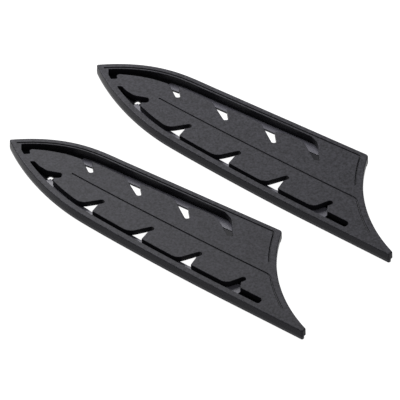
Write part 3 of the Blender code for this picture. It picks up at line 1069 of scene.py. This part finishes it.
@dataclass
class Guard:
    """One blade guard: a front shell, a back shell and the weld line between them."""

    side: Side
    plan: GuardPlan
    moulder: Moulder
    finishes: FinishesAndPaintedLight
    thickness: float = 6.0
    seam: float = 2.0
    panel_floor: float = 2.9
    floor: float = 0.9
    land_height: float = 2.4
    land_edge: float = 0.25
    step_height: float = 1.2
    step_edge: float = 0.1
    top_edge: float = 0.6
    bottom_edge: float = 0.4
    opening_edge: float = 0.28
    opening_sweep: float = math.radians(78.0)
    lean: float = 0.10
    overrun: float = 1.0
    groove: Vector = place(1.0, 1.3)
    weld: Vector = place(1.2, 0.5)
    weld_depth: float = 0.12
    weld_end: Vector = place(3.0, 0.19)
    smooth_below: float = math.radians(32.0)

    def build(self) -> list[Thing]:
        """Makes, places and dresses the guard's pieces.

        Returns:
            The pieces.
        """
        datum = self.datum()
        made = []
        jobs = (("front", self.front_shell), ("back", self.back_shell), ("weld", self.weld_line))
        for label, maker in jobs:
            piece = maker(f"{self.side.value}_{label}_moulding")
            piece.data.transform(Matrix.Translation(datum))
            self._finish_mesh(piece)
            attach(piece, self.side.value)
            if label == "weld":
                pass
            else:
                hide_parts(f"{self.side.value}_{label}_shell")
            made.append(piece)
            LOG.info("%s: %d faces", piece.name, len(piece.data.polygons))
        return made

    def front_shell(self, name: str) -> Thing:
        """The gripping panel with its rim, openings and engraved lines.

        Args:
            name: The object's name.

        Returns:
            The shell.
        """
        plan, make = self.plan, self.moulder
        wall = Section(self.seam, self.thickness, high_edge=self.top_edge, high_inset=self.lean)
        room = Section(self.seam - self.overrun, self.panel_floor)
        opening = Section(
            self.seam - self.overrun / 2,
            self.thickness,
            high_edge=-self.opening_edge,
            rise=self.overrun,
            sweep=self.opening_sweep,
        )
        body = make.solid(name, [plan.outline()], wall)
        tools = [
            make.solid("blade_room", [plan.blade_space()], room),
            make.solid("channel_tool", [plan.channel()], opening),
            make.solid("slot_tool", [plan.slots()], opening),
            make.rod("rim_line", plan.rim_line(), self.thickness, self.groove),
            make.rod("centre_line", plan.centre_line(), self.thickness, self.groove),
        ]
        return make.shaped(body, [(tool, Cut.TAKE) for tool in tools])

    def back_shell(self, name: str) -> Thing:
        """The floor with its windows, the lower rim and the land behind the edge.

        Args:
            name: The object's name.

        Returns:
            The shell.
        """
        plan, make = self.plan, self.moulder
        wall = Section(0.0, self.seam, low_edge=self.bottom_edge, low_inset=self.lean)
        room = Section(self.floor, self.seam + self.overrun)
        land = Section(self.floor / 2, self.land_height, high_edge=self.land_edge)
        step = Section(self.floor / 2, self.step_height, high_edge=self.step_edge)
        through = Section(-self.overrun, self.seam + 2 * self.overrun)
        body = make.solid(name, [plan.outline()], wall)
        tools = [
            (make.solid("blade_room", [plan.blade_space()], room), Cut.TAKE),
            (make.solid("edge_land", [plan.land()], land), Cut.ADD),
            (make.solid("spine_step", [plan.step()], step), Cut.ADD),
            (make.solid("window_tool", plan.windows(), through), Cut.TAKE),
            (make.solid("heel_tool", [plan.heel_relief()], through), Cut.TAKE),
        ]
        return make.shaped(body, tools)

    def weld_line(self, name: str) -> Thing:
        """The line where the shells meet, along every wall but the open heel.

        Args:
            name: The object's name.

        Returns:
            The bead.
        """
        inset = self.weld.x / 2 + self.weld_depth
        spine = shifted(self.plan.spine, inset)
        edge = shifted(self.plan.edge, -inset)
        path = [spine[-1] - self.weld_end, *reversed(spine[1:-1]), *edge[1:]]
        path[-1] = path[-1] - Vector((inset, 0.0))
        return self.moulder.rod(name, path, self.seam, self.weld)

    def datum(self) -> Vector:
        """Where this guard's plan has its zero, on the floor, in metres."""
        low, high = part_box(f"{self.side.value}_front_shell")
        return Vector((high.x - self.plan.tail * MM, low.y + self.plan.tail_drop * MM, 0.0))

    def _finish_mesh(self, piece: Thing) -> None:
        """Cleans a piece's mesh, gives each face its finish with its painted shade or painted sheen, and
        smooths the rounds.

        Args:
            piece: The piece.
        """
        mesh = piece.data
        mesh.materials.clear()
        for region in Region:
            mesh.materials.append(self.finishes.materials[region])
        shell = bmesh.new()
        shell.from_mesh(mesh)
        bmesh.ops.remove_doubles(shell, verts=shell.verts, dist=MERGE_DISTANCE)
        bmesh.ops.recalc_face_normals(shell, faces=shell.faces)
        shell.normal_update()
        is_back = "back" in piece.name
        for face in shell.faces:
            face.smooth = True
            face.material_index = self._region(face, is_back).value
        for edge in shell.edges:
            level = {abs(face.normal.z) > 0.9999 for face in edge.link_faces}
            edge.smooth = len(level) == 1 and edge.calc_face_angle(0.0) < self.smooth_below
        shell.to_mesh(mesh)
        shell.free()

    def _region(self, face: bmesh.types.BMFace, is_back: bool) -> Region:
        """The finish of one face, from where it is and which way it faces; this choice also paints shade on
        walls and floors and a sheen on raised ledges.

        Args:
            face: The face.
            is_back: Whether it belongs to a back shell.

        Returns:
            Its finish.
        """
        height = face.calc_center_median().z / MM
        if is_back:
            # Raised ledges of the back shell take the light grey that paints their sheen; the rest take the
            # dark grey that paints shade.
            raised = height > self.floor + 0.1 and face.normal.z > 0.5
            return Region.POLISHED if raised else Region.SATIN
        # Top faces keep the plastic's own grey; walls, grooves and openings take the darker grey that paints
        # their shade.
        on_top = height > self.thickness - self.top_edge and face.normal.z > 0.6
        return Region.ERODED if on_top else Region.DRAWN


# Studio


@dataclass
class Studio:
    """A plain white floor, soft light from above and the camera."""

    look_at: Vector
    azimuth: float = math.radians(38.1)
    elevation: float = math.radians(40.0)
    lens: float = 1500.0
    sensor: float = 36.0
    view_width: float = 0.2068
    floor_size: float = 12.0
    floor_grey: float = 0.2
    floor_glow: float = 1.0
    sky: float = 0.25
    lamp_power: float = 5.5
    lamp_size: Vector = place(0.5, 0.4)
    lamp_height: float = 0.55
    lamp_place: Vector = place(-0.5, 0.2)
    WHITE: ClassVar[tuple[float, ...]] = (1.0, 1.0, 1.0, 1.0)

    def build(self) -> None:
        """Sets up the floor, the light and the camera."""
        self._floor()
        self._sky()
        self._lamp()
        self._camera()

    def _floor(self) -> None:
        """Lays the floor, which glows so that it stays white."""
        half = self.floor_size / 2
        mesh = bpy.data.meshes.new("floor")
        corners = [(-half, -half, 0.0), (half, -half, 0.0), (half, half, 0.0), (-half, half, 0.0)]
        mesh.from_pydata(corners, [], [(0, 1, 2, 3)])
        floor = linked("floor", mesh)
        material = bpy.data.materials.new("pale_floor")
        material.use_nodes = True
        shader = material.node_tree.nodes["Principled BSDF"]
        grey = (self.floor_grey, self.floor_grey, self.floor_grey, 1.0)
        set_inputs(shader, {"Base Color": grey, "Roughness": 0.9, "Specular IOR Level": 0.0})
        set_inputs(shader, {"Emission Color": self.WHITE, "Emission Strength": self.floor_glow})
        mesh.materials.append(material)

    def _sky(self) -> None:
        """Fills the room with pale light."""
        world = bpy.data.worlds.new("pale_room")
        world.use_nodes = True
        set_inputs(world.node_tree.nodes["Background"], {"Color": self.WHITE, "Strength": self.sky})
        bpy.context.scene.world = world
        bpy.context.scene.view_settings.view_transform = "Standard"

    def _lamp(self) -> None:
        """Hangs the soft lamp above the table, past the tips and a little behind."""
        light = bpy.data.lights.new("soft_lamp", "AREA")
        light.shape = "RECTANGLE"
        light.size, light.size_y = self.lamp_size
        light.energy = self.lamp_power
        lamp = linked("soft_lamp", light)
        lamp.location = (*self.lamp_place, self.lamp_height)
        lamp.rotation_euler = Vector(lamp.location).to_track_quat("Z", "Y").to_euler()

    def _camera(self) -> None:
        """Adds the camera, far off with a long lens, so that lines stay parallel."""
        level = math.cos(self.elevation)
        back = Vector((math.sin(self.azimuth) * level, -math.cos(self.azimuth) * level, 0.0))
        back.z = math.sin(self.elevation)
        data = bpy.data.cameras.new("camera")
        data.lens = self.lens
        data.sensor_width = self.sensor
        data.clip_end = 100.0
        camera = linked("camera", data)
        distance = self.view_width * self.lens / self.sensor
        camera.location = self.look_at + distance * back
        camera.rotation_euler = back.to_track_quat("Z", "Y").to_euler()
        bpy.context.scene.camera = camera


def main() -> None:
    """Builds both guards and the studio, and reports the pieces."""
    logging.basicConfig(level=logging.INFO)
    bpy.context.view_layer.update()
    moulder = Moulder()
    finishes = FinishesAndPaintedLight()
    guards = {side: Guard(side, GuardPlan(), moulder, finishes) for side in Side}
    pieces = [piece for guard in guards.values() for piece in guard.build()]
    LOG.info("%d pieces in %d guards", len(pieces), len(guards))
    Studio(guards[Side.NEAR].datum() + VIEW_MIDDLE * MM).build()


if __name__ == "__main__":
    main()
